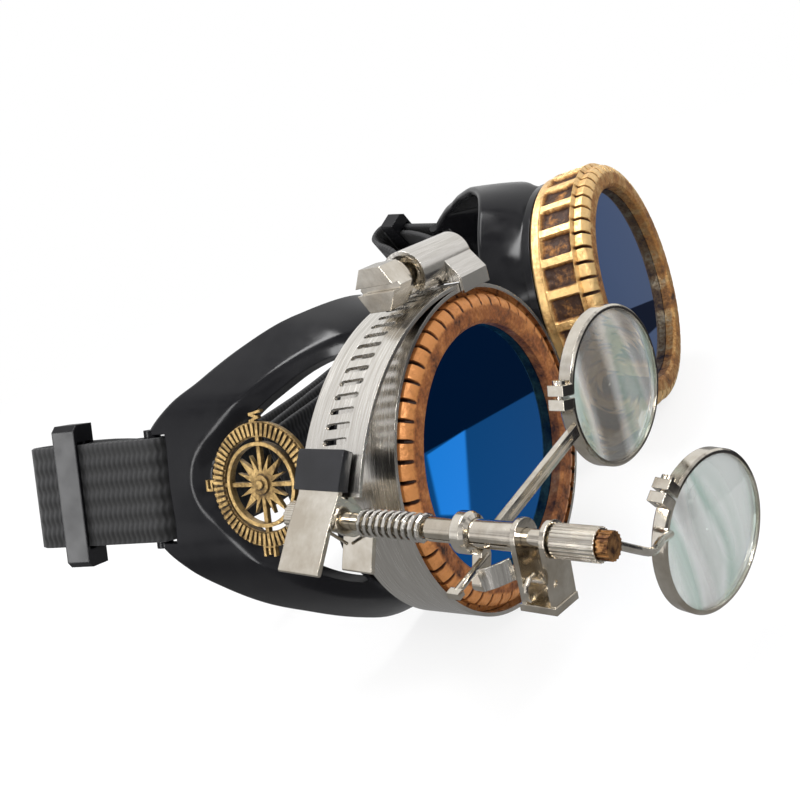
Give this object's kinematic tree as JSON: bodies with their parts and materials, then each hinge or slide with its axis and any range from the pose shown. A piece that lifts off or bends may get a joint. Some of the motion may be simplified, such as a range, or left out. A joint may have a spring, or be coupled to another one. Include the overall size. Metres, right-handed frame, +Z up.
{
  "type": "protective goggles",
  "caption": "Steampunk goggles: black moulded eye cups with copper screw rims, blue lenses, a compass in one temple window, elastic strap and hose-clamped swing-away loupes.",
  "frame": {"origin": "centre of the right rim's front opening, on the right cup's axis", "axes": "+X to the wearer's left, -Y out of the lenses, +Z up"},
  "size_m": [0.1546, 0.1302, 0.0713],
  "materials": {
    "black_shell": "glossy moulded black",
    "copper_rim": "worn copper over brown",
    "blue_lens": "blue mirrored",
    "rubber": "matt black",
    "antique_brass": "aged, dark in the recesses",
    "webbing": "ribbed elastic",
    "steel_strip": "satin",
    "vinyl": "dipped",
    "nickel": "polished nickel",
    "clear_lens": "clear, faintly green",
    "brass_tip": "knurled"
  },
  "bodies": {
    "right_cup": {"right_cup": "black_shell", "right_seal": "rubber", "right_lens": "blue_lens", "right_rim": "copper_rim", "compass": "antique_brass", "bridge_strip": "rubber", "right_bridge_rivet": "nickel", "strap": "webbing"},
    "left_cup": {"left_cup": "black_shell", "left_seal": "rubber", "left_lens": "blue_lens", "left_bridge_rivet": "nickel"},
    "left_rim": {"left_rim": "copper_rim"},
    "right_slider": {"right_slider": "black_shell"},
    "left_slider": {"left_slider": "black_shell"},
    "clamp": {"clamp_band": "steel_strip", "worm_housing": "steel_strip", "outer_jaw": "nickel", "outer_jaw_sleeve": "vinyl", "jaw_spring": "nickel", "loupe_shaft": "nickel", "shaft_spring": "steel_strip", "shaft_sleeve": "nickel", "bracket": "nickel", "leaf_spring": "steel_strip"},
    "worm_screw": {"worm_screw": "nickel"},
    "inner_jaw": {"inner_jaw": "nickel", "inner_jaw_sleeve": "vinyl"},
    "rear_knob": {"rear_knob": "nickel"},
    "upper_loupe": {"lever_plate": "nickel", "upper_hub": "nickel", "upper_arm": "nickel", "upper_ring": "nickel", "upper_loupe_lens": "clear_lens", "upper_ring_screw": "nickel"},
    "lower_loupe": {"shaft_tip": "brass_tip", "lower_arm": "nickel", "lower_ring": "nickel", "lower_loupe_lens": "clear_lens", "lower_ring_screw": "nickel"},
    "front_knob": {"front_knob": "nickel"},
    "wire_latch": {"wire_latch": "nickel"}
  },
  "joints": [
    {"name": "left_cup_flex", "type": "hinge", "parent": "right_cup", "child": "left_cup", "pos_m": [0.0354, 0.0235, -0.0157], "axis": [0, 0, 1], "range_deg": [-4, 4], "stiffness_Nm_per_rad": 0.15, "deforming": ["bridge_strip", "strap"]},
    {"name": "left_rim_turn", "type": "hinge", "parent": "left_cup", "child": "left_rim", "pos_m": [0.0708, -0.0015, 0], "axis": [0.1335, -0.9877, 0.0819], "continuous": true},
    {"name": "right_slider_slide", "type": "slide", "parent": "right_cup", "child": "right_slider", "axis": [-0.3395, 0.9272, 0.1583], "range_m": [-0.003, 0.002]},
    {"name": "left_slider_slide", "type": "slide", "parent": "left_cup", "child": "left_slider", "axis": [0.2109, 0.9741, 0.0818], "range_m": [-0.003, 0.002]},
    {"name": "clamp_turn", "type": "hinge", "parent": "right_cup", "child": "clamp", "pos_m": [0, 0, 0], "axis": [0, -1, 0], "range_deg": [-25, 45]},
    {"name": "worm_screw_turn", "type": "hinge", "parent": "clamp", "child": "worm_screw", "pos_m": [0.00606, 0.0062, 0.03437], "axis": [0.9848, 0, -0.1736], "continuous": true},
    {"name": "inner_jaw_squeeze", "type": "hinge", "parent": "clamp", "child": "inner_jaw", "pos_m": [-0.03692, 0.00699, 0.0111], "axis": [0.0698, 0.9976, 0], "range_deg": [0, 14], "stiffness_Nm_per_rad": 0.02, "springref_deg": -5.73, "deforming": ["jaw_spring"]},
    {"name": "rear_knob_turn", "type": "hinge", "parent": "clamp", "child": "rear_knob", "pos_m": [-0.0365, 0.01298, 0.0111], "axis": [-0.0698, -0.9976, 0], "continuous": true},
    {"name": "upper_loupe_swing", "type": "hinge", "parent": "clamp", "child": "upper_loupe", "pos_m": [-0.03901, -0.02294, 0.0111], "axis": [-0.0698, -0.9976, 0], "range_deg": [-20, 80]},
    {"name": "lower_loupe_swing", "type": "hinge", "parent": "clamp", "child": "lower_loupe", "pos_m": [-0.0402, -0.03989, 0.0111], "axis": [-0.0698, -0.9976, 0], "range_deg": [-15, 110]},
    {"name": "front_knob_turn", "type": "hinge", "parent": "clamp", "child": "front_knob", "pos_m": [-0.03992, -0.0359, 0.0111], "axis": [-0.0698, -0.9976, 0], "continuous": true},
    {"name": "wire_latch_swing", "type": "hinge", "parent": "clamp", "child": "wire_latch", "pos_m": [-0.04222, -0.02873, 0.00647], "axis": [-0.0698, -0.9976, 0], "range_deg": [-10, 10]}
  ]
}
